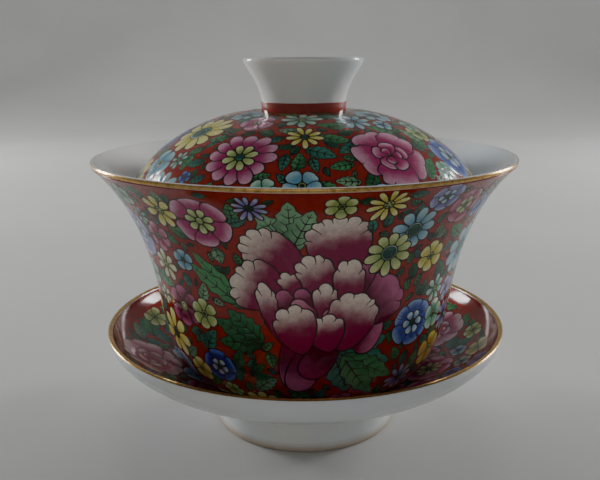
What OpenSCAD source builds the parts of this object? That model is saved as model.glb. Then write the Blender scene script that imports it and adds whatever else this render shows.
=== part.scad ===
// Covered tea bowl of three loose pieces: a saucer, a flared bowl and a domed lid with a ring knob.
// Every piece is turned about the Z axis. Sizes are in millimetres, and Z = 0 is the table.

/* [Saucer] */
// Radius of the saucer's foot ring where it stands on the table
saucer_foot_r = 24.0; // [22:0.5:26]
// Height at which the foot ring meets the underside of the dish
saucer_foot_h = 9.4; // [9:0.1:9.8]
// Height of the hollow under the saucer, inside its foot ring
saucer_recess_h = 5.2; // [4.6:0.1:5.6]
// Radius of the flat floor of the well that holds the bowl
well_r = 21.6; // [21.2:0.1:21.8]
// Height of the well's floor
well_z = 8.6; // [8.3:0.1:8.9]
// Rise of the underside where it leaves the foot ring, from level
saucer_rise = 20; // [18:1:22]
// Radius of the saucer's mouth, at the middle of its lip
saucer_mouth_r = 51.1; // [49:0.1:53]
// Height of the middle of the saucer's lip
saucer_mouth_z = 27.3; // [26:0.1:29]
// Rise of the wall at the lip, from level
saucer_lip_rise = 85; // [80:1:90]
// Wall thickness near the foot
saucer_base_wall = 2.3; // [2:0.1:2.6]
// Wall thickness at the lip
saucer_lip_wall = 1.2; // [1:0.1:1.5]

/* [Bowl] */
// Radius of the bowl's foot ring where it meets the body
bowl_foot_r = 20.5; // [19:0.5:21]
// Height of the bowl's foot ring
bowl_foot_h = 4.1; // [3.6:0.1:4.6]
// Depth of the hollow under the bowl, inside its foot ring
bowl_recess_h = 2.9; // [2.4:0.1:3.1]
// Radius of the bowl's belly, where it starts to flare
belly_r = 37.7; // [37:0.1:39]
// Height of that place above the table
belly_z = 34.7; // [33:0.1:37]
// Rise of the wall at that place, from level
belly_rise = 83; // [81:0.5:85]
// Radius of the bowl's mouth, at the middle of its lip
bowl_mouth_r = 52.2; // [50:0.1:54]
// Height of the middle of the bowl's lip
bowl_mouth_z = 70.8; // [69:0.1:72]
// Rise of the wall at the lip, from level
bowl_lip_rise = 43; // [40:1:50]
// Wall thickness near the foot
bowl_base_wall = 2.8; // [2.4:0.1:3.2]
// Wall thickness at the lip
bowl_lip_wall = 1.2; // [1:0.1:1.5]

/* [Lid] */
// Height of the lid's crown, which carries the knob
crown_z = 82.0; // [81:0.1:83]
// Wall thickness at the crown
lid_crown_wall = 2.4; // [2:0.1:2.8]
// Wall thickness at the lid's edge
lid_edge_wall = 1.3; // [1:0.1:1.6]
// Slope of the lid at its edge, down from level
lid_edge_drop = 62; // [58:1:66]
// Where the lid's edge sits along the bowl's flare, from the belly (0) to the lip (1)
seat_place = 0.63; // [0.6:0.01:0.66]
// Gap between the lid's edge and the bowl
seat_gap = 0.25; // [0.2:0.05:0.4]

/* [Knob] */
// Outer radius of the knob at the crown
knob_base_r = 10.5; // [10.1:0.1:10.9]
// Rise of the knob's wall at the crown, from level: it leans in a little before it flares
knob_base_rise = 93; // [90:1:95]
// Radius of the knob's mouth, at the middle of its lip
knob_mouth_r = 14.3; // [13.8:0.1:14.8]
// Height of the middle of the knob's lip
knob_mouth_z = 94.4; // [93:0.1:96]
// Rise of the knob's wall at its lip, from level
knob_lip_rise = 61; // [57:1:65]
// Wall thickness at the crown
knob_base_wall = 2.2; // [1.8:0.1:2.6]
// Wall thickness at the lip
knob_lip_wall = 1.5; // [1.2:0.1:1.8]

/* [Decoration] */
// Thickness of the fired enamel painting
enamel_t = 0.2; // [0.15:0.01:0.25]
// Thickness of the gilding on the lips
gilt_t = 0.12; // [0.1:0.01:0.15]
// Height of the enamel line round the foot of the knob
knob_line_h = 2.0; // [1.4:0.1:2.6]

/* [Hidden] */
$fn = 128;

steps = 20;        // straight stretches in each curve
lip_steps = 8;     // straight stretches round a lip
gilt_right = [1, 4]; // first and last lip point that is gilded, where the painting is right of the curve
gilt_left = [2, 7];  // the same where the painting is left of the curve
edge_steps = 4;    // straight stretches round a foot ring's bottom edge
foot_wall = 2.6;   // width of a foot ring at the bottom
foot_edge_r = 0.4; // rounding of a foot ring's bottom edges
foot_draft = 0.6;  // how far a foot ring widens from bottom to top

// How far each curve holds its direction at its start and at its end
saucer_hold = [9.7, 7.3];
well_hold = [1.8, 1.4];
belly_hold = [11, 12];
flare_hold = [18.8, 8.7];
lid_hold = [11.2, 14.3];
knob_hold = [5.6, 3.4];

porcelain = "whitesmoke";
iron_red = "firebrick";
gold = "goldenrod";

// --- Curves in the (radius, height) plane, and the solids turned from them ---

function unit(angle) = [cos(angle), sin(angle)];
function left_of(v) = [-v[1], v[0]];
function back(points) = [for (i = [len(points) - 1 : -1 : 0]) points[i]];

// The points without their first and last
function inner(points) = [for (i = [1 : len(points) - 2]) points[i]];

// Control points of a cubic Bezier curve that leaves one place at one rise and meets the next at another
function between(from, from_rise, to, to_rise, hold) =
    [from, from + hold[0] * unit(from_rise), to - hold[1] * unit(to_rise), to];

// Point at t, from 0 to 1, on the curve with the control points c
function bezier(c, t) =
    pow(1 - t, 3) * c[0] + 3 * t * pow(1 - t, 2) * c[1]
    + 3 * t * t * (1 - t) * c[2] + pow(t, 3) * c[3];

// Unit vector along that curve at t
function heading(c, t) =
    let (v = pow(1 - t, 2) * (c[1] - c[0]) + 2 * t * (1 - t) * (c[2] - c[1]) + t * t * (c[3] - c[2]))
    v / norm(v);

// Curve points from step first to step last, moved to the left by a gap that runs from gap0 to gap1
function curve(c, gap0 = 0, gap1 = 0, first = 0, last = steps) = [
    for (i = [first : last])
        let (t = i / steps)
        bezier(c, t) + (gap0 + (gap1 - gap0) * t) * left_of(heading(c, t))
];

// Arc points about centre
function arc(centre, r, from, to, count = lip_steps) = [
    for (i = [0 : count]) centre + r * unit(from + (to - from) * i / count)
];

// Where the outer side of a wall ends, at a round lip that rises at an angle
function wall_end(lip, wall, rise) = lip - wall / 2 * left_of(unit(rise));

// Points round a lip, between the two sides of its wall
function lip_round(lip, wall, rise) = inner(arc(lip, wall / 2, rise - 90, rise + 90));

module turned(points) {
    rotate_extrude() polygon(points);
}

// Ring under a dish or bowl. Its top is the cone from the recess edge up to the outer wall.
module foot_ring(bottom_r, bottom_z, recess, rim) {
    inside_r = bottom_r - foot_wall;
    turned(concat(
        [recess],
        [rim],
        arc([bottom_r - foot_edge_r, bottom_z + foot_edge_r], foot_edge_r, 0, -90, edge_steps),
        arc([inside_r + foot_edge_r, bottom_z + foot_edge_r], foot_edge_r, -90, -180, edge_steps)
    ));
}

// The part of the arc round a lip that is gilded, from the first to the last point of span
function gilded(lip, r, rise, span) =
    let (round = arc(lip, r, rise - 90, rise + 90))
    [for (i = [span[0] : span[1]]) round[i]];

// Gilding on the crest of a lip
module gilding(lip, wall, rise, span) {
    turned(concat(gilded(lip, wall / 2 + gilt_t, rise, span), back(gilded(lip, wall / 2, rise, span))));
}

// --- Saucer ---

saucer_recess_r = saucer_foot_r - foot_wall - foot_draft / 2;
saucer_lip = [saucer_mouth_r, saucer_mouth_z];
saucer_side = between(
    [saucer_foot_r + foot_draft, saucer_foot_h], saucer_rise,
    wall_end(saucer_lip, saucer_lip_wall, saucer_lip_rise), saucer_lip_rise,
    saucer_hold
);
saucer_inside = curve(saucer_side, saucer_base_wall, saucer_lip_wall);
well_side = between([well_r, well_z], 0, saucer_inside[0], saucer_rise, well_hold);

module saucer_foot_ring() {
    color(porcelain)
        foot_ring(saucer_foot_r, 0, [saucer_recess_r, saucer_recess_h], saucer_side[0]);
}

module saucer_dish() {
    color(porcelain)
        turned(concat(
            [[0, saucer_recess_h], [saucer_recess_r, saucer_recess_h]],
            curve(saucer_side),
            lip_round(saucer_lip, saucer_lip_wall, saucer_lip_rise),
            back(saucer_inside),
            inner(back(curve(well_side))),
            [[well_r, well_z], [0, well_z]]
        ));
}

module saucer_enamel() {
    color(iron_red)
        turned(concat(
            saucer_inside,
            back(curve(saucer_side, saucer_base_wall + enamel_t, saucer_lip_wall + enamel_t))
        ));
}

module saucer_gilt_rim() {
    color(gold)
        gilding(saucer_lip, saucer_lip_wall, saucer_lip_rise, gilt_left);
}

// --- Bowl ---

bowl_foot_top = [bowl_foot_r, well_z + bowl_foot_h];
bowl_recess_z = well_z + bowl_recess_h;
bowl_recess_r = bowl_foot_r - foot_wall - foot_draft / 2;
bowl_lip = [bowl_mouth_r, bowl_mouth_z];
belly = [belly_r, belly_z];
bowl_belly = between(bowl_foot_top, 0, belly, belly_rise, belly_hold);
bowl_flare = between(
    belly, belly_rise,
    wall_end(bowl_lip, bowl_lip_wall, bowl_lip_rise), bowl_lip_rise,
    flare_hold
);
belly_wall = (bowl_base_wall + bowl_lip_wall) / 2;
bowl_floor_z = bowl_foot_top[1] + bowl_base_wall;
first_enamel_step = 1; // the step along the belly curve where the enamel starts, clear of the foot

module bowl_foot_ring() {
    color(porcelain)
        foot_ring(bowl_foot_r - foot_draft, well_z, [bowl_recess_r, bowl_recess_z], bowl_foot_top);
}

module bowl_wall() {
    color(porcelain)
        turned(concat(
            [[0, bowl_recess_z], [bowl_recess_r, bowl_recess_z]],
            curve(bowl_belly, last = steps - 1),
            curve(bowl_flare),
            lip_round(bowl_lip, bowl_lip_wall, bowl_lip_rise),
            back(curve(bowl_flare, belly_wall, bowl_lip_wall)),
            back(curve(bowl_belly, bowl_base_wall, belly_wall, 0, steps - 1)),
            [[0, bowl_floor_z]]
        ));
}

module bowl_enamel() {
    color(iron_red)
        turned(concat(
            curve(bowl_belly, -enamel_t, -enamel_t, first_enamel_step, steps - 1),
            curve(bowl_flare, -enamel_t, -enamel_t),
            back(curve(bowl_flare)),
            back(curve(bowl_belly, 0, 0, first_enamel_step, steps - 1))
        ));
}

module bowl_gilt_rim() {
    color(gold)
        gilding(bowl_lip, bowl_lip_wall, bowl_lip_rise, gilt_right);
}

// --- Lid ---

seat_wall = belly_wall + (bowl_lip_wall - belly_wall) * seat_place;
seat_side = left_of(heading(bowl_flare, seat_place));
seat = bezier(bowl_flare, seat_place) + seat_wall * seat_side;
lid_lip = seat + (seat_gap + gilt_t + lid_edge_wall / 2) * seat_side;
lid_side = between(
    [knob_base_r + enamel_t, crown_z], 0,
    lid_lip + lid_edge_wall / 2 * left_of(unit(-lid_edge_drop)), -lid_edge_drop,
    lid_hold
);

module lid_dome() {
    color(porcelain)
        turned(concat(
            [[0, crown_z]],
            curve(lid_side),
            inner(arc(lid_lip, lid_edge_wall / 2, 90 - lid_edge_drop, -90 - lid_edge_drop)),
            back(curve(lid_side, -lid_crown_wall, -lid_edge_wall)),
            [[0, crown_z - lid_crown_wall]]
        ));
}

module lid_enamel() {
    color(iron_red)
        turned(concat(
            curve(lid_side),
            back(curve(lid_side, enamel_t, enamel_t))
        ));
}

module lid_gilt_rim() {
    color(gold)
        gilding(lid_lip, lid_edge_wall, -lid_edge_drop, gilt_left);
}

// --- Knob ---

knob_lip = [knob_mouth_r, knob_mouth_z];
knob_side = between(
    [knob_base_r, crown_z], knob_base_rise,
    wall_end(knob_lip, knob_lip_wall, knob_lip_rise), knob_lip_rise,
    knob_hold
);
knob_line_steps = round(steps * knob_line_h / (knob_mouth_z - crown_z));

module lid_knob() {
    color(porcelain)
        turned(concat(
            curve(knob_side),
            lip_round(knob_lip, knob_lip_wall, knob_lip_rise),
            back(curve(knob_side, knob_base_wall, knob_lip_wall, 1)),
            [[knob_base_r - knob_base_wall, crown_z]]
        ));
}

module knob_enamel_line() {
    color(iron_red)
        turned(concat(
            curve(knob_side, 0, 0, 0, knob_line_steps),
            back(curve(knob_side, -enamel_t, -enamel_t, 1, knob_line_steps)),
            [[knob_base_r + enamel_t, crown_z]]
        ));
}

saucer_foot_ring();
saucer_dish();
saucer_enamel();
saucer_gilt_rim();
bowl_foot_ring();
bowl_wall();
bowl_enamel();
bowl_gilt_rim();
lid_dome();
lid_enamel();
lid_gilt_rim();
lid_knob();
knob_enamel_line();
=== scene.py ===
import math
import random

import bpy
import numpy as np
from mathutils import Matrix, Vector
from mathutils.geometry import delaunay_2d_cdt
from mathutils.kdtree import KDTree


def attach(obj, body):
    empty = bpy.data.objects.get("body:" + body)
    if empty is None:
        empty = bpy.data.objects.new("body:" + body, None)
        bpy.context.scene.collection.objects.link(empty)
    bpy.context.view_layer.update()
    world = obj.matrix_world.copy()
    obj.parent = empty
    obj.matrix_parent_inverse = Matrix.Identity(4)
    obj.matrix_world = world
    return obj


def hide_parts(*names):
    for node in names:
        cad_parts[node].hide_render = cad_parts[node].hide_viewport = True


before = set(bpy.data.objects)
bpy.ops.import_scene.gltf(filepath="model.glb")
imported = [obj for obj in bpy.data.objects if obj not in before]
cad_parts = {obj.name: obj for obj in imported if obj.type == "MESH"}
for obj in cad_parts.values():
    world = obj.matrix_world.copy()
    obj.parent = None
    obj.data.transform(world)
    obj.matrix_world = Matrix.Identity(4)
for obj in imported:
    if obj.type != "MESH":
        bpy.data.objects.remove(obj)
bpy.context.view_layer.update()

# A lidded tea bowl on its saucer. The white porcelain and the gilt rims are turned from the outlines of the
# CAD nodes. The painted coats are laid on the CAD coats and cut along every brush line, so that each petal
# and leaf is a low pad of enamel with its own colours.

MM = 0.001            # lengths below are in millimetres, and meshes are in metres
FRONT = -math.pi / 2  # the main peony faces -Y, and places are given in degrees round from there, towards +X
TURNS = 192           # facets round a turned piece
GRAIN = 0.85          # spacing of the mesh points on a painted coat
BACK_GRAIN = 5.0      # and on its hidden back
SNAP = 1e-5           # how near a point lies to a panel's border, in radians, to be moved onto it
PAD = 0.055           # height of a pad of enamel above its outline
SHOULDER = 0.5        # width of the slope up to that height
LINE = 0.3            # width of a black brush line
BARE = 0.5            # height up to which a foot ring is bare of glaze
RANDOM = random.Random(7)


# --- Outlines and turned pieces ---

def smooth(points, per_span, closed=True):
    """Catmull-Rom curve through points, with per_span steps between each two."""
    p = np.asarray(points, float)
    if closed:
        p = np.vstack([p[-1], p, p[:2]])
    else:
        p = np.vstack([2 * p[0] - p[1], p, 2 * p[-1] - p[-2]])
    t = np.arange(per_span)[:, None] / per_span
    spans = []
    for a, b, c, d in zip(p, p[1:], p[2:], p[3:]):
        squared = a - 2.5 * b + 2 * c - d / 2
        cubed = 1.5 * (b - c) + (d - a) / 2
        spans.append(b + t * (c - a) / 2 + t**2 * squared + t**3 * cubed)
    curve = np.concatenate(spans)
    return curve if closed else np.vstack([curve, p[-2]])


def outline(node):
    """The (radius, height) points of a turned CAD node, in order round its section."""
    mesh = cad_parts[node].data
    section = {}
    for v in mesh.vertices:
        if abs(v.co.y) < 1e-7 and v.co.x > -1e-7:
            section[v.index] = (round(v.co.x / MM, 3), round(v.co.z / MM, 3))
    links = {}
    for edge in mesh.edges:
        a, b = (section.get(i) for i in edge.vertices)
        if a and b and a != b:
            links.setdefault(a, set()).add(b)
            links.setdefault(b, set()).add(a)
    ends = [p for p in links if len(links[p]) == 1]
    point = min(ends or links, key=lambda p: (p[1], p[0]))
    path = [point]
    while len(path) < len(links):
        point = min(p for p in links[point] if p not in path)
        path.append(point)
    if ends and path[0][0] > 0:
        path = [(0.0, path[0][1])] + path  # a flat face of the CAD has no point on the axis
    if ends and path[-1][0] > 0:
        path.append((0.0, path[-1][1]))
    return path


def turned(name, node, body, slot, material):
    """A smooth turned piece in place of a CAD node."""
    path = outline(node)
    is_open = path[0][0] < 1e-3
    rings = []
    verts = []
    for r, z in path:
        count = 1 if r < 1e-3 else TURNS
        rings.append(range(len(verts), len(verts) + count))
        for k in range(count):
            a = 2 * math.pi * k / TURNS
            verts.append((r * math.cos(a) * MM, r * math.sin(a) * MM, z * MM))
    faces = []
    pairs = list(zip(rings, rings[1:])) + ([] if is_open else [(rings[-1], rings[0])])
    for low, high in pairs:
        for k in range(TURNS):
            n = (k + 1) % TURNS
            ring = [low[k % len(low)], low[n % len(low)], high[n % len(high)], high[k % len(high)]]
            faces.append(list(dict.fromkeys(ring)))
    mesh = bpy.data.meshes.new(name)
    mesh.from_pydata(verts, [], faces)
    if mesh_volume(mesh) < 0:
        mesh.flip_normals()
    mesh.shade_smooth()
    mesh.set_sharp_from_angle(angle=math.radians(40))
    if slot == "painted_enamel":
        light, deep = ENAMELS["ground"]
        paint_corners(mesh, (*light, 0.5), (*deep, 1.0))
    if "foot" in name:
        height = np.array([v.co.z for v in mesh.vertices]) / MM
        bare = (height < height.min() + BARE).astype(float)
        mesh.attributes.new("bare", "FLOAT", "POINT").data.foreach_set("value", bare)
    return piece(name, mesh, body, slot, material, node)


def mesh_volume(mesh):
    """Six times the volume inside a mesh, below zero where its faces look inwards."""
    mesh.calc_loop_triangles()
    at = [v.co for v in mesh.vertices]
    return sum(at[t.vertices[0]].dot(at[t.vertices[1]].cross(at[t.vertices[2]])) for t in mesh.loop_triangles)


def paint_corners(mesh, paint, shade):
    """Stores the colours that the enamel material reads: four values for each face corner."""
    for name, values in (("paint", paint), ("shade", shade)):
        attribute = mesh.color_attributes.new(name, "FLOAT_COLOR", "CORNER")
        attribute.data.foreach_set("color", np.broadcast_to(values, (len(mesh.loops), 4)).ravel())


def piece(name, mesh, body, slot, material, *nodes):
    """An object of the model, which rides on a body and stands for CAD nodes."""
    mesh.materials.append(material)
    made = bpy.data.objects.new(name, mesh)
    bpy.context.scene.collection.objects.link(made)
    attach(made, body)
    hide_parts(*nodes)
    return made


# --- Colours ---

def linear(red, green, blue):
    """Linear colour from screen values of 0 to 255."""
    screen = (red / 255, green / 255, blue / 255)
    return tuple(c / 12.92 if c < 0.04045 else ((c + 0.055) / 1.055) ** 2.4 for c in screen)


# Each enamel has the colour of its edge and the deeper colour that the brush lays at its root.
ENAMELS = {
    "ground": (linear(178, 48, 24), linear(128, 22, 14)),
    "cream": (linear(236, 222, 208), linear(138, 12, 72)),
    "magenta": (linear(196, 104, 146), linear(112, 8, 58)),
    "wine": (linear(150, 40, 90), linear(84, 4, 40)),
    "pink": (linear(222, 168, 190), linear(172, 48, 108)),
    "rose": (linear(212, 140, 168), linear(160, 36, 84)),
    "blush": (linear(224, 196, 200), linear(176, 70, 116)),
    "yellow": (linear(236, 232, 156), linear(206, 192, 70)),
    "gold": (linear(230, 206, 96), linear(190, 144, 48)),
    "lime": (linear(214, 222, 160), linear(150, 172, 92)),
    "ivory": (linear(232, 230, 206), linear(190, 200, 130)),
    "sky": (linear(176, 210, 216), linear(104, 160, 184)),
    "mist": (linear(206, 222, 228), linear(120, 160, 200)),
    "blue": (linear(150, 176, 224), linear(64, 92, 180)),
    "cobalt": (linear(92, 120, 208), linear(28, 44, 150)),
    "lavender": (linear(184, 182, 214), linear(122, 122, 182)),
    "teal": (linear(66, 140, 116), linear(22, 84, 68)),
    "leaf": (linear(84, 156, 98), linear(26, 98, 62)),
    "moss": (linear(50, 118, 74), linear(14, 66, 42)),
    "sage": (linear(138, 182, 140), linear(66, 126, 88)),
    "mint": (linear(196, 222, 206), linear(112, 172, 146)),
    "ink": (linear(26, 14, 14), linear(26, 14, 14)),
}


# --- Painted coats ---

class Coat:
    """A painted coat and the shapes on it. A place on the coat is an angle from the front, in radians, and a
    distance along the profile, which starts at the foot or the crown and ends at the lip."""

    def __init__(self, node, wall, body, panels):
        self.node, self.body, self.panels = node, body, panels
        outer, inner = self.sides(node, wall)
        knots = smooth(outer, 6, closed=False)
        self.along = np.concatenate([[0], np.cumsum(np.hypot(*np.diff(knots, axis=0).T))])
        self.length = self.along[-1]
        self.radius, self.height = knots.T
        tangent = np.gradient(knots, self.along, axis=0)
        tangent /= np.hypot(*tangent.T)[:, None]
        depth = np.array(outer[0]) - np.array(inner[0])
        self.side = 1 if depth @ (tangent[0][1], -tangent[0][0]) > 0 else -1
        self.out_r, self.out_z = self.side * tangent[:, 1], -self.side * tangent[:, 0]
        self.thick = math.hypot(*depth)
        self.middle = self.at(self.radius, self.length / 2)
        self.shapes = []
        self.taken = np.empty((0, 4))

    @staticmethod
    def sides(node, wall):
        """The outer and inner sides of a coat, in order from the foot or crown to the lip."""
        backing = np.array(outline(wall))
        loop = outline(node)
        hidden = [np.hypot(*(backing - p).T).min() < 0.02 for p in loop]
        start = next(i for i in range(len(loop)) if hidden[i - 1] and not hidden[i])
        loop = loop[start:] + loop[:start]
        hidden = hidden[start:] + hidden[:start]
        outer = [p for p, h in zip(loop, hidden) if not h]
        inner = [p for p, h in zip(loop, hidden) if h][::-1]
        if outer[0][0] > outer[-1][0]:
            outer, inner = outer[::-1], inner[::-1]
        return outer, inner

    def at(self, values, along):
        return np.interp(along, self.along, values)

    def surface(self, angle, along, lift):
        """Points and normals of the coat, with a lift above it."""
        turn = angle + FRONT
        out_r, out_z = self.at(self.out_r, along), self.at(self.out_z, along)
        size = np.hypot(out_r, out_z)
        out_r, out_z = out_r / size, out_z / size
        r = self.at(self.radius, along) + lift * out_r
        z = self.at(self.height, along) + lift * out_z
        cos, sin = np.cos(turn), np.sin(turn)
        return np.stack([r * cos, r * sin, z], -1), np.stack([out_r * cos, out_r * sin, out_z], -1)

    def add(self, loop, enamel, tone, lift):
        """Adds a shape on top of the others. loop is in (angle, along). tone gives 0 to 1 over the coat."""
        loop = np.asarray(loop)
        x, y = loop.T
        if np.sum(x * np.roll(y, -1) - y * np.roll(x, -1)) < 0:
            loop = loop[::-1]
        loop[:, 1] = np.clip(loop[:, 1], 0.02, self.length - 0.02)
        self.shapes.append((loop, enamel, tone, lift))

    def claim(self, loop):
        """Marks the ground under a shape as taken, by three discs along it."""
        points = self.surface(*loop.T, 0)[0]
        centre = points.mean(0)
        axes = np.linalg.svd(points - centre, full_matrices=False)[2]
        half_length, half_width = np.abs((points - centre) @ axes[:2].T).max(0)
        discs = [(*(centre + k * (half_length - half_width) * axes[0]), half_width) for k in (-1, 0, 1)]
        self.taken = np.vstack([self.taken, discs])

    def room(self, places):
        """How far the nearest taken ground is from any of the places."""
        x, y, z, reach = self.taken.T[:, :, None]
        at = self.surface(*places.T, 0)[0].T
        return (np.sqrt((x - at[0]) ** 2 + (y - at[1]) ** 2 + (z - at[2]) ** 2) - reach).min()

    def points(self, first, last, spacing):
        """Mesh points between two angles, in staggered rows."""
        made = []
        rows = round(self.length / spacing)
        for j in range(1, rows):
            along = self.length * j / rows
            count = round(2 * math.pi * self.at(self.radius, along) / spacing)
            step = 2 * math.pi / count
            low, high = math.ceil(first / step), math.floor(last / step)
            made += [((k + 0.5 * (j % 2)) * step, along) for k in range(low - 1, high + 1)]
        return [(a, s) for a, s in made if first < a < last]

    def border(self, angle, spacing):
        rows = round(self.length / spacing)
        return [(angle, self.length * j / rows) for j in range(rows + 1)]

    def triangulate(self, first, last, shapes, cuts, spacing):
        """Triangles between two angles, cut along the shapes, and the topmost shape on each."""
        columns = round((last - first) * self.middle / spacing)
        across = [first + (last - first) * k / columns for k in range(1, columns)]
        rim = self.border(first, spacing)[::-1] + [(a, 0.0) for a in across]
        rim += self.border(last, spacing) + [(a, self.length) for a in across[::-1]]
        verts, edges = [], []
        lines = [(rim, True)] + [(self.border(a, spacing), False) for a in cuts] + [(s, True) for s in shapes]
        for line, closed in lines:
            start, count = len(verts), len(line)
            edges += [(start + k, start + (k + 1) % count) for k in range(count if closed else count - 1)]
            verts += [tuple(p) for p in line]
        verts += self.points(first, last, spacing)
        flat = [Vector((a * self.middle, s)) for a, s in verts]
        made = delaunay_2d_cdt(flat, edges, [], 0, 1e-4, False)
        place = np.array([(v.x / self.middle, v.y) for v in made[0]])
        triangles = np.array(made[2])
        return place, triangles, self.topmost(place[triangles].mean(1), shapes)

    @staticmethod
    def topmost(centres, shapes):
        """The last shape that holds each centre, or -1."""
        top = np.full(len(centres), -1)
        order = np.argsort(centres[:, 0])
        ranked = centres[order]
        for k, loop in enumerate(shapes):
            low, high = loop.min(0), loop.max(0)
            first, last = np.searchsorted(ranked[:, 0], (low[0], high[0]))
            near = order[first:last]
            near = near[(centres[near, 1] > low[1]) & (centres[near, 1] < high[1])]
            x, y = centres[near].T
            x0, y0 = loop.T[:, :, None]
            x1, y1 = np.roll(loop, -1, 0).T[:, :, None]
            crosses = (y0 > y) != (y1 > y)
            with np.errstate(divide="ignore", invalid="ignore"):
                beyond = x < x0 + (y - y0) * (x1 - x0) / (y1 - y0)
            top[near[(crosses & beyond).sum(0) % 2 == 1]] = k
        return top

    def build(self, material):
        """The panels that the coat is made in, each a thin closed shell."""
        span = 2 * math.pi / self.panels
        for k in range(self.panels):
            self.build_panel(k + 1, (k - 0.5) * span, (k + 0.5) * span, material)

    def shapes_between(self, first, last):
        """The shapes that reach between two angles, each with the turn that brings it there."""
        shapes = []
        for loop, enamel, tone, lift in self.shapes:
            for turn in (-2 * math.pi, 0, 2 * math.pi):
                low, high = loop[:, 0].min() + turn, loop[:, 0].max() + turn
                if high > first and low < last:
                    moved = loop + (turn, 0)
                    moved[:, 0] = np.clip(moved[:, 0], first, last)
                    shapes.append((moved, enamel, tone, lift, turn))
        return shapes

    def build_panel(self, number, first, last, material):
        """One panel of the coat. It is worked out with a margin on each side, so that panels match."""
        margin = 3 / self.middle
        shapes = self.shapes_between(first - margin, last + margin)
        place, triangles, top = self.triangulate(
            first - margin, last + margin, [s[0] for s in shapes], (first, last), GRAIN)
        angle, along = place.T
        for border in (first, last):
            angle[np.abs(angle - border) < SNAP] = border
        base, normal = self.surface(angle, along, 0)
        lift = self.pads(base, triangles, top, np.array([s[3] for s in shapes] + [0.0]))
        corner_normals = self.corner_normals(base, normal, lift, triangles, top)
        paint, shade = self.colours(angle, along, triangles, top, shapes)
        centre = angle[triangles].mean(1)
        kept = (centre > first) & (centre < last)
        for border in (first, last):
            # needles between points of the border itself are no part of the panel
            kept &= (angle[triangles] != border).any(1)
        triangles, corner_normals, paint, shade = (a[kept] for a in (triangles, corner_normals, paint, shade))
        used, triangles = np.unique(triangles, return_inverse=True)
        triangles = triangles.reshape(-1, 3)
        outer = base[used] + normal[used] * lift[used][:, None]
        name = f"{self.node}_{number}"
        mesh = self.shell(name, outer, triangles, place[used], corner_normals, paint, shade)
        piece(name, mesh, self.body, "painted_enamel", material, self.node)

    def shell(self, name, outer, triangles, place, corner_normals, paint, shade):
        """Closes a painted patch with sides and a plain back."""
        rim = self.rim(triangles)
        count = len(outer)
        back_place, back_triangles = self.back(*place[rim].T)
        back = self.surface(back_place[:, 0], back_place[:, 1], -self.thick)
        verts = np.vstack([outer, back[0]]) * MM
        ring = len(rim)
        sides = [(rim[i], count + i, count + (i + 1) % ring, rim[(i + 1) % ring]) for i in range(ring)]
        faces = triangles.tolist() + sides + (back_triangles[:, ::-1] + count).tolist()
        if self.side < 0:
            faces = [f[::-1] for f in faces]
            corner_normals, paint, shade = (a[:, ::-1] for a in (corner_normals, paint, shade))
            back_triangles = back_triangles[:, ::-1]
        side_normals = []
        for f in faces[len(triangles):len(triangles) + ring]:
            n = np.cross(verts[f[1]] - verts[f[0]], verts[f[3]] - verts[f[0]])
            side_normals += [n / max(np.linalg.norm(n), 1e-12)] * 4
        hidden = len(side_normals) + back_triangles.size
        back_normals = -back[1][back_triangles[:, ::-1].ravel()]
        all_normals = np.vstack([corner_normals.reshape(-1, 3), side_normals, back_normals])
        light, deep = ENAMELS["ground"]
        mesh = bpy.data.meshes.new(name)
        mesh.from_pydata(verts.tolist(), [], faces)
        paint = np.vstack([paint.reshape(-1, 4), np.tile((*light, 0.5), (hidden, 1))])
        shade = np.vstack([shade.reshape(-1, 4), np.tile((*deep, 1.0), (hidden, 1))])
        paint_corners(mesh, paint, shade)
        mesh.shade_smooth()
        mesh.normals_split_custom_set(all_normals.tolist())
        return mesh

    @staticmethod
    def rim(triangles):
        """The edge of a patch of triangles, as one loop of its points."""
        halves = np.concatenate([triangles[:, [0, 1]], triangles[:, [1, 2]], triangles[:, [2, 0]]])
        known = set(map(tuple, halves.tolist()))
        after = {a: b for a, b in known if (b, a) not in known}
        loop = [min(after)]
        while after[loop[-1]] != loop[0]:
            loop.append(after[loop[-1]])
        return loop

    def back(self, angle, along):
        """The hidden back of a panel: coarse triangles inside the panel's rim."""
        rim = list(zip(angle, along))
        inside = self.points(angle.min() + 0.02, angle.max() - 0.02, BACK_GRAIN)
        flat = [Vector((a * self.middle, s)) for a, s in rim + inside]
        made = delaunay_2d_cdt(flat, [], [list(range(len(rim)))], 1, 1e-6, True)
        place = np.array([(v.x / self.middle, v.y) for v in made[0]])
        order = {ids[0]: k for k, ids in enumerate(made[3]) if ids}
        back = [order.get(k, k) for k in range(len(place))]
        ranks = {old: new for new, old in enumerate(back)}
        return place[back], np.array([[ranks[v] for v in f] for f in made[2]])

    @staticmethod
    def pads(base, triangles, top, lifts):
        """How far each point stands above the coat: a pad rises from every outline."""
        low = np.full(len(base), 10**9)
        high = np.full(len(base), -10)
        for k in range(3):
            np.minimum.at(low, triangles[:, k], top)
            np.maximum.at(high, triangles[:, k], top)
        on_line = low != high
        tree = KDTree(int(on_line.sum()))
        for i in np.flatnonzero(on_line):
            tree.insert(base[i], int(i))
        tree.balance()
        lift = np.zeros(len(base))
        for i in np.flatnonzero(~on_line & (low < 10**9)):
            if lifts[top_of := low[i]] > 0:
                t = min(1.0, tree.find(base[i])[2] / SHOULDER)
                lift[i] = lifts[top_of] * t * t * (3 - 2 * t)
        return lift

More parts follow.
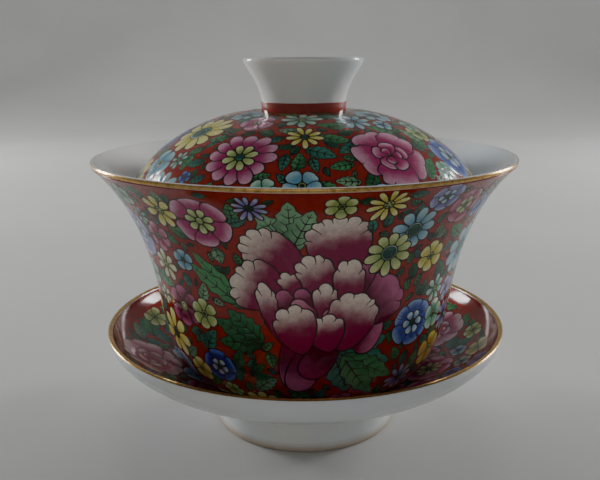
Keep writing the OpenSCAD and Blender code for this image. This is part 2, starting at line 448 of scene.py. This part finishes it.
    @staticmethod
    def corner_normals(base, normal, lift, triangles, top):
        """Normals of the coat, tilted by the slope of each pad and shared only within one shape."""
        p, h = base[triangles], lift[triangles]
        face = np.cross(p[:, 1] - p[:, 0], p[:, 2] - p[:, 0])
        twice = np.linalg.norm(face, axis=1)[:, None]
        face /= np.maximum(twice, 1e-12)
        slope = np.zeros_like(face)
        for k in range(3):
            edge = p[:, (k + 2) % 3] - p[:, (k + 1) % 3]
            slope += h[:, k, None] * np.cross(face, edge) / np.maximum(twice, 1e-6)
        slope *= np.minimum(1, 0.7 / np.maximum(np.linalg.norm(slope, axis=1), 1e-9))[:, None]
        key = (triangles + (top[:, None] + 1) * len(base)).ravel()
        _, group = np.unique(key, return_inverse=True)
        weight = np.repeat(np.sqrt(twice[:, 0]), 3)
        total = np.bincount(group, weight)
        mean = np.stack([np.bincount(group, weight * np.repeat(slope[:, k], 3)) for k in range(3)], -1)
        tilted = normal[triangles.ravel()] - (mean / total[:, None])[group]
        tilted /= np.linalg.norm(tilted, axis=1)[:, None]
        return tilted.reshape(-1, 3, 3)

    @staticmethod
    def colours(angle, along, triangles, top, shapes):
        """Edge and root colours at each corner. The first also hold the tone, and the second the gloss."""
        paint = np.empty((*triangles.shape, 4))
        shade = np.empty((*triangles.shape, 4))
        for k in np.unique(top):
            rows = top == k
            enamel = shapes[k][1] if k >= 0 else "ground"
            light, deep = ENAMELS[enamel]
            paint[rows, :, :3] = light
            shade[rows, :, :3] = deep
            shade[rows, :, 3] = 0 if enamel == "ink" else 1
            if k >= 0 and shapes[k][2] is not None:
                corner = triangles[rows]
                paint[rows, :, 3] = shapes[k][2](angle[corner] - shapes[k][4], along[corner])
            else:
                paint[rows, :, 3] = 0.5
        return paint, shade


class Stamp:
    """A place on a coat where a motif is painted, in millimetres of its own."""

    def __init__(self, coat, angle, along, turn=0.0):
        self.coat, self.angle, self.along = coat, math.radians(angle), along
        self.turn = math.radians(turn)

    def on_coat(self, loop):
        """Points of the motif as (angle, along) on the coat."""
        c, s = math.cos(self.turn), math.sin(self.turn)
        x, y = loop.T
        along = self.along + s * x + c * y
        radius = self.coat.at(self.coat.radius, along)
        return np.stack([self.angle + (c * x - s * y) / radius, along], -1)

    def off_coat(self, angle, along):
        """Places on the coat as (x, y) of the motif."""
        c, s = math.cos(self.turn), math.sin(self.turn)
        x = (angle - self.angle) * self.coat.at(self.coat.radius, along)
        y = along - self.along
        return c * x + s * y, c * y - s * x

    def fill(self, loop, enamel, tone=None, lift=PAD):
        """Fills a loop. tone is (root point, edge point): the colour runs from the root to the edge."""
        blend = None
        if tone:
            (rx, ry), (ex, ey) = tone
            reach = (ex - rx) ** 2 + (ey - ry) ** 2

            def blend(angle, along):
                x, y = self.off_coat(angle, along)
                return np.clip(((x - rx) * (ex - rx) + (y - ry) * (ey - ry)) / reach, 0, 1)
        self.coat.add(self.on_coat(loop), enamel, blend, lift)

    def line(self, points, width, taper=0.3):
        """A brush line that thins towards its end."""
        p = np.asarray(points, float)
        step = np.gradient(p, axis=0)
        side = np.stack([-step[:, 1], step[:, 0]], -1) / np.hypot(*step.T)[:, None]
        half = width / 2 * np.linspace(1, taper, len(p))[:, None]
        self.coat.add(self.on_coat(np.vstack([p - side * half, (p + side * half)[::-1]])), "ink", None, 0)

    def outlined(self, loop, enamel, tone, move=None, line=LINE, lift=PAD):
        """A loop with a black outline. The loop is drawn on its own, and move puts it in the motif."""
        low, high = loop.min(0), loop.max(0)
        centre = (low + high) / 2
        shrink = np.maximum(0.3, 1 - 2 * line / (high - low))
        inset = centre + (loop - centre) * shrink
        move = move or (lambda p: p)
        self.coat.claim(self.on_coat(move(loop)))
        self.fill(move(loop), "ink", lift=0)
        self.fill(move(inset), enamel, tuple(map(tuple, move(np.array(tone, float)))), lift)


def mover(turn, at=(0, 0)):
    """Turns points and moves them to a place."""
    c, s = math.cos(turn), math.sin(turn)
    return lambda p: np.stack([c * p[:, 0] - s * p[:, 1] + at[0], s * p[:, 0] + c * p[:, 1] + at[1]], -1)


def round_angles(count):
    return 2 * math.pi * np.arange(count) / count


def petal_loop(near, far, width):
    """A petal along +Y, broadest towards its far end."""
    a = round_angles(16)
    up = (1 - np.cos(a)) / 2
    x = width / 2 * np.sin(a) * (0.72 + 0.42 * up)
    y = near + (far - near) * up**0.9
    wobble = np.array([RANDOM.uniform(-1, 1) for _ in a])
    return np.stack([x * (1 + 0.03 * wobble), y + 0.015 * (far - near) * wobble], -1)


def petal(s, turn, near, far, width, enamel, spot=0.0):
    """One petal. spot moves the deep colour from the root towards the edge."""
    tone = ((0, near + spot * (far - near)), (0, far))
    s.outlined(petal_loop(near, far, width), enamel, tone, mover(turn))


def ruffled(s, root, tip, width, lobes, enamel, spot=0.38):
    """A broad petal from root to tip, with lobes along its edge and short strokes in from their notches."""
    dx, dy = tip[0] - root[0], tip[1] - root[1]
    length = math.hypot(dx, dy)
    count = 24 + 6 * lobes
    a = round_angles(count)
    up = (1 - np.cos(a)) / 2
    loop = np.stack([width / 2 * np.sin(a) * (0.72 + 0.42 * up), length * up**0.9], -1)
    centre = np.array([0, length / 2])
    uneven = np.array([RANDOM.uniform(-0.3, 0.3) for _ in range(lobes + 1)])
    notches = math.pi + 1.5 * (2 * (np.arange(lobes + 1) + uneven) / max(lobes, 1) - 1)
    if lobes:
        place = np.interp(a, notches, np.arange(lobes + 1))
        dip = (1 - np.abs(np.sin(math.pi * place)) ** 0.7) * np.clip(5 * up - 2.4, 0, 1)
        loop = centre + (loop - centre) * (1 - 1.1 * dip / max(width, length) * 2)[:, None]
    place = mover(math.atan2(-dx, dy), root)
    s.outlined(loop, enamel, ((0, spot * length), (0, length)), place, 1.1 * LINE)
    for notch in notches[1:-1]:
        edge = loop[round(notch * count / (2 * math.pi)) % count]
        inward = (centre - edge) * RANDOM.uniform(0.12, 0.4)
        s.line(place(np.array([edge, edge + 0.5 * inward + (0.1, 0), edge + inward])), 1.1 * LINE, 0.4)


def disc(s, radius, enamel, lift=PAD):
    """The heart of a flower."""
    a = round_angles(14)
    loop = np.stack([radius * np.cos(a), radius * np.sin(a)], -1)
    s.outlined(loop, enamel, ((0, 0), (0, radius)), lift=lift)


def dots(s, ring, radius, count):
    """Black dots in a ring."""
    a = round_angles(7)
    for k in range(count):
        turn = 2 * math.pi * k / count
        centre = np.array([ring * math.cos(turn), ring * math.sin(turn)])
        s.fill(centre + radius * np.stack([np.cos(a), np.sin(a)], -1), "ink", lift=0)


def daisy(s, reach, petals, enamel, heart="teal"):
    """A flat flower of slim petals round a dotted heart."""
    width = 2 * math.pi * reach * 0.62 / petals
    for k in range(petals):
        turn = 2 * math.pi * (k + RANDOM.uniform(-0.1, 0.1)) / petals
        petal(s, turn, 0.16 * reach, reach * RANDOM.uniform(0.9, 1.06), width, enamel)
    disc(s, 0.26 * reach, heart)
    dots(s, 0.26 * reach * 0.5, 0.06 * reach, 5)


def double(s, reach, outer, inner, enamel, inner_enamel, heart="teal", stripes=0, spot=0.35):
    """A double flower: a ring of broad petals round a ring of small ones."""
    for k in range(outer):
        turn = 2 * math.pi * (k + RANDOM.uniform(-0.08, 0.08)) / outer
        width = 1.32 * 2 * math.pi * reach * 0.68 / outer
        petal(s, turn, 0.3 * reach, reach * RANDOM.uniform(0.94, 1.04), width, enamel, spot=spot)
        for j in range(stripes):
            x = width * 0.5 * ((j + 1) / (stripes + 1) - 0.5)
            ray = np.array([(x * 0.5, 0.5 * reach), (x, 0.72 * reach), (1.15 * x, 0.92 * reach)])
            s.line(mover(turn)(ray), 0.2)
    for k in range(inner):
        turn = 2 * math.pi * (k + 0.5) / inner
        petal(s, turn, 0.1 * reach, 0.52 * reach, 1.05 * math.pi * reach * 0.7 / inner, inner_enamel)
    disc(s, 0.15 * reach, heart)


def spiral(s, reach, petals, enamel, heart="teal", off=0.0):
    """A chrysanthemum: long petals of uneven length round a coiled heart."""
    for k in range(petals):
        turn = 2 * math.pi * (k + RANDOM.uniform(-0.08, 0.08)) / petals
        far = reach * (1 + off * math.cos(turn)) * RANDOM.uniform(0.94, 1.04)
        petal(s, turn, 0.25 * reach, far, 1.15 * 2 * math.pi * reach * 0.68 / petals, enamel)
    disc(s, 0.37 * reach, "mint")
    disc(s, 0.29 * reach, heart)
    t = np.linspace(0, 1, 26)
    coil = 0.22 * reach * (1 - 0.85 * t)
    turn = 2 * math.pi * 1.9 * t
    s.line(np.stack([coil * np.cos(turn), coil * np.sin(turn)], -1), 0.17, 0.8)


def blossom(s, reach, petals, enamel, heart="moss", spot=0.2):
    """A small flower of a few round petals."""
    width = 1.3 * 2 * math.pi * reach * 0.6 / petals
    for k in range(petals):
        turn = 2 * math.pi * (k + RANDOM.uniform(-0.06, 0.06)) / petals
        petal(s, turn, 0.14 * reach, reach * RANDOM.uniform(0.92, 1.05), width, enamel, spot=spot)
    disc(s, 0.24 * reach, "lime")
    disc(s, 0.13 * reach, heart, lift=0)


def leaf(s, length, width, enamel, turn=0.0, bend=0.0, veins=5, teeth=0.16):
    """A toothed leaf with a midrib and side veins, from its stalk along +Y before it is turned."""
    count = 11
    t = np.linspace(0, 1, count)
    half = width / 2 * np.sin(math.pi * t**0.85) ** 0.85
    half[1:-1] *= 1 + teeth * np.where(np.arange(1, count - 1) % 2, 1, -1)
    middle = bend * length * np.sin(math.pi * t)
    left = np.stack([middle - half, t * length], -1)
    right = np.stack([middle + half, t * length], -1)
    loop = np.vstack([left[1:], right[-2:0:-1], [(0, 0)]])
    place = mover(turn)
    s.outlined(loop, enamel, ((-0.7 * width, 0), (0.7 * width, 0.3 * length)), place)
    rib = np.stack([middle, t * length], -1)[1:-1:2]
    s.line(place(rib), 0.36)
    for k in range(veins):
        u = 0.14 + 0.66 * k / max(veins - 1, 1)
        i = u * (count - 1)
        x0 = np.interp(i, range(count), middle)
        reach = 0.72 * np.interp(min(u + 0.12, 1) * (count - 1), range(count), half)
        for side in (-1, 1):
            ray = [(x0, u * length), (x0 + 0.55 * side * reach, u * length + 0.3 * reach),
                   (x0 + side * reach, u * length + 0.8 * reach)]
            s.line(place(np.array(ray)), 0.34)


def spray(s, length, enamel, turns, width=0.42):
    """Several leaves from one stalk."""
    middle = (len(turns) - 1) / 2
    for k, turn in enumerate(turns):
        leaf(s, length * (1 - 0.12 * abs(k - middle)), width * length, enamel, math.radians(turn))


def small_peony(s, reach, enamel="pink"):
    """A peony of five broad petals round a knot of small ones."""
    ring = [(k, 1.0, 1.16, 2) for k in (2, 4, 1, 3, 0)]
    knot = [(k + 0.5, 0.5, 0.5, 0) for k in (1, 3, 0, 2, 4)] + [(k, 0.3, 0.3, 0) for k in (0.2, 2, 3.6)]
    for k, far, width, lobes in ring + knot:
        turn = 2 * math.pi * k / 5 + RANDOM.uniform(-0.1, 0.1)
        tip = (-reach * far * math.sin(turn), reach * far * math.cos(turn))
        ruffled(s, (0.06 * tip[0], 0.06 * tip[1]), tip, width * reach, lobes, enamel)


# Petals of the main peony, from the back to the front: root, tip, width, lobes, enamel
PEONY = [
    ((-6, -6), (-5, -21.5), 6.0, 0, "magenta"),
    ((0, -7), (-4.5, -22.5), 8.0, 0, "magenta"),
    ((5, -7), (-2.5, -18), 8.0, 0, "wine"),
    ((7, -5), (15, -9), 11.0, 0, "magenta"),
    ((7, -4), (19.5, 5), 14.0, 4, "magenta"),
    ((7, 0), (11.5, 13), 7.0, 0, "magenta"),
    ((6.5, 7), (3, 24), 15.5, 8, "cream"),
    ((-2, 7), (-15.5, 19), 12.0, 6, "cream"),
    ((-6, 2), (-18.5, 8), 14.5, 6, "cream"),
    ((-7, -9), (-12, 6.5), 5.5, 3, "cream"),
    ((3.5, 1), (-2.5, 13.5), 9.5, 5, "cream"),
    ((7.5, -2), (6.8, 12.5), 8.0, 4, "cream"),
    ((-3, 2.5), (-7.5, 9), 5.2, 3, "cream"),
    ((-4, -2), (-8.0, 4.5), 5.8, 1, "magenta"),
    ((-1, -1), (-4, 5), 4.8, 1, "magenta"),
    ((3, -5), (1.5, 6.5), 6.5, 3, "cream"),
    ((0, -6), (-4.5, 2.5), 6.0, 1, "rose"),
    ((3, -7), (3, 0), 5.0, 1, "magenta"),
    ((5.5, -11), (10, 3.5), 13.0, 5, "cream"),
    ((3.5, -11), (1, -1.5), 10.0, 4, "cream"),
    ((-2.5, -11.5), (-5.8, 1), 10.5, 4, "cream"),
]


def peony(s):
    """The main peony, which fills the front of the bowl."""
    for root, tip, width, lobes, enamel in PEONY:
        ruffled(s, root, tip, width, lobes, enamel)


# --- What is painted on each coat ---

FLOWERS = {
    "large": (
        (small_peony, "pink"), (small_peony, "rose"), (double, 7, 8, "pink", "lime"),
        (double, 8, 6, "blue", "mist"), (spiral, 11, "ivory"), (spiral, 10, "yellow"), (spiral, 9, "sky"),
        (double, 6, 6, "lavender", "mist"),
    ),
    "middle": (
        (daisy, 8, "yellow"), (daisy, 9, "ivory", "lime"), (double, 6, 5, "rose", "lime"),
        (spiral, 9, "lime"), (double, 6, 5, "cobalt", "mist"), (daisy, 8, "sky", "moss"),
        (blossom, 6, "magenta", "ivory"),
        (spiral, 9, "sky"), (daisy, 9, "lavender", "moss"), (double, 5, 5, "mist", "blue"),
    ),
    "small": (
        (blossom, 5, "sky"), (blossom, 6, "yellow"), (blossom, 5, "rose"), (blossom, 6, "lime"),
        (daisy, 6, "ivory"), (blossom, 5, "blue"), (daisy, 7, "mint", "lime"), (blossom, 5, "lavender"),
        (blossom, 5, "mint"),
    ),
}
LEAVES = ("leaf", "leaf", "moss", "teal", "teal", "sage")


def scatter(coat, low, high):
    """Fills the free ground between two distances along the profile: flowers, large to small, then leaves."""
    for reach, kinds, tries in (
        (7.2, "large", 60), (6.0, "large", 120), (5.2, "middle", 300), (4.4, "middle", 500),
        (3.6, "small", 1000), (2.8, "small", 1500),
    ):
        for _ in range(tries):
            angle, along = RANDOM.uniform(-180, 180), RANDOM.uniform(low + reach, high - reach)
            if coat.room(np.array([(math.radians(angle), along)])) > 0.82 * reach:
                paint_flower, *settings = RANDOM.choice(FLOWERS[kinds])
                paint_flower(Stamp(coat, angle, along, RANDOM.uniform(0, 360)), reach, *settings)
    flowers, coat.shapes = coat.shapes, []
    for length, tries in ((7.5, 1500), (6.0, 1500), (4.8, 2000), (3.8, 3000), (3.0, 4000), (2.4, 4000)):
        for _ in range(tries):
            s = Stamp(coat, RANDOM.uniform(-180, 180), RANDOM.uniform(low, high), RANDOM.uniform(0, 360))
            places = s.on_coat(np.array([(0, 0.4 * length), (0, 0.65 * length), (0, 0.9 * length)]))
            inside = low < places[:, 1].min() and places[:, 1].max() < high
            if inside and coat.room(places) > 0.05 * length:
                leaf(s, length, 0.56 * length, RANDOM.choice(LEAVES), bend=RANDOM.uniform(-0.1, 0.1), veins=4)
    coat.shapes += flowers


def paint_bowl(coat):
    """The flowers and leaves of the bowl's front: angle from the front, then the distance up the profile."""
    def at(angle, along, turn=0.0):
        return Stamp(coat, angle, along, turn)

    # leaves first, so that the flowers lie over them
    spray(at(-4, 52.5), 14, "sage", (32, 0, -24), 0.46)
    spray(at(-19, 37), 19, "leaf", (42, 54), 0.24)
    spray(at(-14, 29), 13, "moss", (95, 70, 48), 0.42)
    spray(at(9, 27), 16, "teal", (-80, -108, -136, -162), 0.42)
    spray(at(12, 26), 17, "leaf", (-122, -148), 0.36)
    peony(at(3, 38))
    leaf(at(-20.5, 58.8), 5.6, 2.8, "teal", math.radians(-70))
    double(at(-27.5, 59.3), 7.3, 6, 7, "pink", "lime", heart="lime")
    daisy(at(-13, 64.0), 4.1, 10, "lavender", "moss")
    daisy(at(-40, 60.8), 5.0, 7, "yellow", "lime")
    leaf(at(-26, 52.5), 4.6, 3.4, "sage", math.radians(190), veins=3)
    blossom(at(-48, 52.5), 4.2, 6, "rose")
    blossom(at(-40, 47.3), 3.2, 5, "sky")
    daisy(at(-51, 44.5), 4.4, 7, "ivory", "lime")
    leaf(at(-42, 44), 4.4, 2.8, "teal", math.radians(200), veins=3)
    blossom(at(-46.5, 34.4), 5.8, 6, "magenta", "ivory", spot=0.3)
    blossom(at(-36.3, 34.0), 4.2, 6, "lime")
    daisy(at(-57, 25.5), 6.6, 7, "yellow", "moss")
    spray(at(-39, 29.5), 5.0, "teal", (150, 190, 110), 0.5)
    double(at(-33.5, 20.5), 4.9, 5, 5, "cobalt", "mist")
    blossom(at(-45, 17.6), 3.9, 5, "yellow")
    leaf(at(-25.5, 21.0), 6.0, 3.4, "moss", math.radians(-15))
    spray(at(-21, 20.0), 6.2, "moss", (-50, -90), 0.4)

    blossom(at(8, 64.6), 3.7, 6, "lime")
    leaf(at(11.5, 66.2), 4.6, 2.6, "moss", math.radians(-100), veins=4)
    for angle, along, turn in ((17.4, 56.5, 14), (20.4, 57.5, -6), (27.8, 59.6, -12)):
        leaf(at(angle, along), 4.6, 2.4, "teal", math.radians(turn), veins=3)
    daisy(at(19, 64.4), 5.0, 10, "yellow", "lime")
    spiral(at(29.8, 56.2), 5.7, 9, "sky", off=0.1)
    spiral(at(24.0, 50.8), 5.8, 10, "lime", off=-0.05)
    double(at(35, 65.0), 4.6, 6, 5, "lavender", "mist")
    blossom(at(41, 47.8), 4.4, 6, "yellow")
    spray(at(39, 52.8), 4.6, "sage", (-20, -70), 0.5)
    leaf(at(36, 42.5), 4.8, 2.9, "moss", math.radians(18))
    double(at(39.6, 31), 6.3, 6, 6, "blue", "mist", stripes=3)
    spray(at(41, 37.5), 4.8, "teal", (25, -20, -60), 0.46)
    daisy(at(49.5, 38.0), 4.0, 7, "mint", "lime")
    blossom(at(52, 31.0), 4.2, 5, "mint")
    leaf(at(39, 24.0), 4.6, 3.0, "teal", math.radians(170))
    blossom(at(55, 21), 5.2, 5, "gold")


def paint_lid(coat):
    """The flowers and leaves of the lid's front: distances are from the knob."""
    def at(angle, along, turn=0.0):
        return Stamp(coat, angle, along, turn)

    for angle, along, turn, length, enamel in (
        (-6.5, 23.5, 10, 5.5, "teal"), (2, 24.5, -15, 5.0, "teal"), (-3.5, 21, 80, 4.5, "moss"),
        (-9, 17.5, 60, 5, "teal"), (-30, 22, 80, 5.0, "moss"), (-37, 27, 70, 5.5, "teal"),
        (-33, 31, 60, 4.5, "teal"), (-42.5, 23, 60, 5, "leaf"), (-39, 20, 40, 4.0, "teal"),
        (-41, 15, 100, 4.5, "leaf"), (-24, 15.5, 60, 4.0, "moss"), (-15, 15, 80, 4.0, "leaf"),
        (17, 27, 80, 6.0, "leaf"), (17.5, 32, 95, 6.0, "sage"), (51, 21, -40, 6.0, "leaf"),
        (46, 33, -60, 5.0, "moss"), (32, 14.5, -20, 4.0, "teal"), (12, 13, -70, 4.0, "leaf"),
        (8, 20, -60, 4.0, "moss"),
    ):
        leaf(at(angle, along), length, 0.5 * length, enamel, math.radians(turn), veins=4)
    double(at(-24, 25.2), 8.3, 12, 8, "pink", "lime", spot=0.25)
    daisy(at(0, 17.5), 4.5, 9, "yellow")
    blossom(at(-1, 32.5), 4.4, 5, "sky")
    blossom(at(-41.5, 32), 1.9, 5, "blue")
    blossom(at(-62, 30), 5.0, 5, "sky")
    spiral(at(-60, 18), 8.0, 11, "yellow")
    blossom(at(-30, 11), 4.6, 5, "pink")
    daisy(at(-2, 8.2), 5.0, 8, "mint", "lime")
    small_peony(at(33, 25.5, 12), 9.5)
    blossom(at(54, 32), 3.4, 5, "mint")
    double(at(67, 29), 7.0, 6, 5, "blue", "mist")
    blossom(at(65, 20), 3.6, 5, "lime")
    blossom(at(72, 16.5), 3.2, 5, "mint")
    daisy(at(32, 10.5), 4.8, 8, "sky")


def paint_saucer(coat):
    """The flowers and leaves that show beside the bowl, and one peony in front and one behind."""
    def at(angle, along, turn=0.0):
        return Stamp(coat, angle, along, turn)

    for angle, along, turn, length, enamel in (
        (-97, 20, 24, 8.0, "teal"), (-97, 20.5, 55, 10.0, "leaf"), (-98, 15, 20, 8.0, "teal"),
        (-113, 23.5, 66, 8.0, "teal"), (-68, 25, -80, 6.5, "moss"),
        (98, 19.5, -26, 9.2, "leaf"), (98, 19.5, -56, 9.6, "leaf"), (86, 17, -72, 8.0, "teal"),
        (118, 24, -70, 6.0, "moss"),
    ):
        leaf(at(angle, along), length, 0.56 * length, enamel, math.radians(turn), teeth=0.24)
    blossom(at(-108, 24.6), 4.4, 6, "lime")
    small_peony(at(-78, 18.8), 9.2, "blush")
    small_peony(at(106, 17.6, 20), 8.6, "blush")
    blossom(at(78, 24.5), 4.2, 6, "lime")
    blossom(at(63, 18.5), 3.2, 5, "blue")
    small_peony(at(12, 18, 30), 8.6)
    small_peony(at(194, 18, 10), 8.8)


def paint_all():
    """Paints the three coats, each with room left for bare ground at its ends."""
    bowl = Coat("bowl_enamel", "bowl_wall", "bowl", 4)
    paint_bowl(bowl)
    peony(Stamp(bowl, 180, 38))
    scatter(bowl, 1, 67.4)
    lid = Coat("lid_enamel", "lid_dome", "lid", 3)
    paint_lid(lid)
    scatter(lid, 1, lid.length + 1)
    saucer = Coat("saucer_enamel", "saucer_dish", "saucer", 3)
    paint_saucer(saucer)
    scatter(saucer, 0.5, 28.8)
    return [bowl, lid, saucer]


# --- Materials ---

def node(tree, kind, inputs=(), **settings):
    """Adds a shader node. An input takes a value or the socket that feeds it."""
    made = tree.nodes.new("ShaderNode" + kind)
    for key, value in settings.items():
        setattr(made, key, value)
    for key, value in dict(inputs).items():
        if isinstance(value, bpy.types.NodeSocket):
            tree.links.new(value, made.inputs[key])
        else:
            made.inputs[key].default_value = value
    return made


def material(name):
    """A new material, with its node tree and its shader."""
    made = bpy.data.materials.new(name)
    made.use_nodes = True
    tree = made.node_tree
    return made, tree, tree.nodes["Principled BSDF"]


def noise(tree, scale, detail=3.0, seed=0.0):
    """Noise of 0 to 1 with scale features to the metre, fixed to the piece."""
    place = node(tree, "TexCoord").outputs["Object"]
    inputs = {"Vector": place, "W": seed, "Scale": scale, "Detail": detail}
    return node(tree, "TexNoise", inputs, noise_dimensions="4D").outputs["Fac"]


def ranged(tree, value, low, high, to_low=0.0, to_high=1.0):
    """Carries the range from low to high over to another, with soft ends."""
    inputs = {"Value": value, "From Min": low, "From Max": high, "To Min": to_low, "To Max": to_high}
    return node(tree, "MapRange", inputs, interpolation_type="SMOOTHSTEP").outputs["Result"]


def math_node(tree, operation, a, b, c=0.0):
    return node(tree, "Math", {0: a, 1: b, 2: c}, operation=operation).outputs[0]


def mix(tree, factor, a, b):
    return node(tree, "Mix", {0: factor, 6: a, 7: b}, data_type="RGBA").outputs[2]


def bump(tree, shader, height, strength, distance):
    made = node(tree, "Bump", {"Height": height, "Strength": strength, "Distance": distance})
    tree.links.new(made.outputs[0], shader.inputs["Normal"])


def painted_enamel():
    """Overglaze enamel: each pad runs from its root colour to its edge colour, with brush mottling."""
    made, tree, shader = material("painted_enamel")
    paint = node(tree, "Attribute", attribute_name="paint")
    shade = node(tree, "Attribute", attribute_name="shade")
    mottle = noise(tree, 420, 4)
    grain = noise(tree, 1500, 2, 3.0)
    drift = math_node(tree, "MULTIPLY_ADD", mottle, 0.5, -0.25)
    tone = math_node(tree, "ADD", paint.outputs["Alpha"], drift)
    colour = mix(tree, ranged(tree, tone, 0.12, 0.88), shade.outputs["Color"], paint.outputs["Color"])
    thin = ranged(tree, grain, 0.25, 0.75, 0.86, 1.06)
    colour = node(tree, "HueSaturation", {"Color": colour, "Value": thin}).outputs[0]
    tree.links.new(colour, shader.inputs["Base Color"])
    gloss = ranged(tree, noise(tree, 260, 2, 5.0), 0.3, 0.7, 0.09, 0.17)
    rough = node(tree, "Mix", {0: shade.outputs["Alpha"], 2: 0.34, 3: gloss}).outputs[0]
    tree.links.new(rough, shader.inputs["Roughness"])
    bump(tree, shader, noise(tree, 900, 3, 8.0), 0.25, 0.00004)
    return made


def porcelain():
    """Clear glaze over white body: uneven, a little blue, with a few specks. A foot's bottom is bare."""
    made, tree, shader = material("porcelain")
    tint = ranged(tree, noise(tree, 30, 3), 0.35, 0.65)
    colour = mix(tree, tint, (*linear(222, 228, 232), 1), (*linear(234, 234, 230), 1))
    cells = node(tree, "TexVoronoi", {"Vector": node(tree, "TexCoord").outputs["Object"], "Scale": 190.0})
    speck = ranged(tree, cells.outputs["Distance"], 0.05, 0.09, 1.0, 0.0)
    chance = ranged(tree, cells.outputs["Color"], 0.86, 0.9)
    speck = math_node(tree, "MULTIPLY", speck, chance)
    colour = mix(tree, speck, colour, (*linear(120, 104, 92), 1))
    bare = node(tree, "Attribute", attribute_name="bare").outputs["Fac"]
    clay = mix(tree, noise(tree, 900, 4, 9.0), (*linear(206, 192, 170), 1), (*linear(172, 152, 128), 1))
    tree.links.new(mix(tree, bare, colour, clay), shader.inputs["Base Color"])
    gloss = ranged(tree, noise(tree, 120, 3, 2.0), 0.3, 0.7, 0.06, 0.13)
    rough = node(tree, "Mix", {0: bare, 2: gloss, 3: 0.7}).outputs[0]
    tree.links.new(rough, shader.inputs["Roughness"])
    waves = math_node(tree, "MULTIPLY_ADD", speck, -0.3, noise(tree, 160, 2, 4.0))
    bump(tree, shader, waves, 0.35, 0.00012)
    return made


def gilding():
    """Fired gold, thin and a little rubbed."""
    made, tree, shader = material("gilding")
    worn = ranged(tree, noise(tree, 1100, 5), 0.4, 0.75)
    colour = mix(tree, worn, (*linear(212, 174, 106), 1), (*linear(150, 108, 60), 1))
    tree.links.new(colour, shader.inputs["Base Color"])
    shader.inputs["Metallic"].default_value = 1.0
    tree.links.new(ranged(tree, worn, 0, 1, 0.14, 0.3), shader.inputs["Roughness"])
    bump(tree, shader, noise(tree, 1400, 3, 6.0), 0.3, 0.00003)
    return made


def pale_floor():
    """Matt pale paper."""
    made, tree, shader = material("pale_floor")
    cloud = ranged(tree, noise(tree, 6, 4), 0.3, 0.7)
    colour = mix(tree, cloud, (0.56, 0.56, 0.55, 1), (0.60, 0.60, 0.59, 1))
    tree.links.new(colour, shader.inputs["Base Color"])
    shader.inputs["Roughness"].default_value = 0.85
    return made


# --- Studio ---

def studio():
    """A round sweep of pale floor and wall, the same from all sides, and soft lights."""
    inner_r, wall_r, wall_h, bend = 0.05, 1.3, 1.6, 0.5
    section = [(0, 0), (inner_r, 0), (wall_r - bend, 0)]
    for k in range(1, 13):
        a = math.pi / 2 * k / 12
        section.append((wall_r - bend + bend * math.sin(a), bend * (1 - math.cos(a))))
    section.append((wall_r, wall_h))
    verts, faces, turns = [], [], 96
    around = [2 * math.pi * k / turns for k in range(turns)]
    for r, z in section:
        verts += [(r * math.cos(a), r * math.sin(a), z) for a in around]
    for j in range(len(section) - 1):
        for k in range(turns):
            n = (k + 1) % turns
            faces.append((j * turns + k, j * turns + n, (j + 1) * turns + n, (j + 1) * turns + k))
    mesh = bpy.data.meshes.new("floor")
    mesh.from_pydata(verts, [], faces)
    mesh.shade_smooth()
    mesh.materials.append(pale_floor())
    floor = bpy.data.objects.new("floor", mesh)
    bpy.context.scene.collection.objects.link(floor)

    world = bpy.data.worlds.new("studio")
    bpy.context.scene.world = world
    world.use_nodes = True
    world.node_tree.nodes["Background"].inputs["Color"].default_value = (0.9, 0.95, 1.0, 1)
    world.node_tree.nodes["Background"].inputs["Strength"].default_value = 0.08
    area_light("left_window", (-0.70, 0.48, 0.24), (0.2, 0.32), 5.2)
    area_light("right_window", (0.72, 0.44, 0.28), (0.2, 0.32), 4.8)
    wall_light = area_light("wall_light", (0.0, 0.80, 1.3), (1.0, 0.5), 3.7, (0, 0.95, 0))
    wall_light.visible_glossy = False
    area_light("front_fill", (-0.1, -0.85, 0.55), (0.9, 0.6), 0.5)


def area_light(name, place, size, watts, target=(0, 0, 0.05)):
    """A soft rectangular light that faces a target, by default the middle of the object."""
    data = bpy.data.lights.new(name, "AREA")
    data.shape = "RECTANGLE"
    data.size, data.size_y = size
    data.energy = watts
    made = bpy.data.objects.new(name, data)
    made.location = place
    aim = Vector(target) - Vector(place)
    made.rotation_euler = aim.to_track_quat("-Z", "Y").to_euler()
    bpy.context.scene.collection.objects.link(made)
    return made


def camera():
    """The photograph's view: low, a little above the rim, close in front."""
    data = bpy.data.cameras.new("camera")
    data.lens, data.sensor_width = 43.3, 36.0
    data.clip_start = 0.01
    made = bpy.data.objects.new("camera", data)
    place = Matrix.Translation((-0.0012, -0.1847, 0.0946))
    tilt = Matrix.Rotation(math.radians(90 - 14.07), 4, "X")
    roll = Matrix.Rotation(-0.0077, 4, "Z")
    made.matrix_world = place @ tilt @ roll
    bpy.context.scene.collection.objects.link(made)
    bpy.context.scene.camera = made


camera()
studio()
WHITE, GOLD, ENAMEL = porcelain(), gilding(), painted_enamel()
for cad_node, body_name in (
    ("saucer_foot_ring", "saucer"), ("saucer_dish", "saucer"), ("bowl_foot_ring", "bowl"),
    ("bowl_wall", "bowl"), ("lid_dome", "lid"), ("lid_knob", "lid"),
):
    turned(cad_node + "_porcelain", cad_node, body_name, "porcelain", WHITE)
for body_name in ("saucer", "bowl", "lid"):
    turned(body_name + "_gold_line", body_name + "_gilt_rim", body_name, "gilding", GOLD)
turned("knob_line", "knob_enamel_line", "lid", "painted_enamel", ENAMEL)
for coat in paint_all():
    coat.build(ENAMEL)
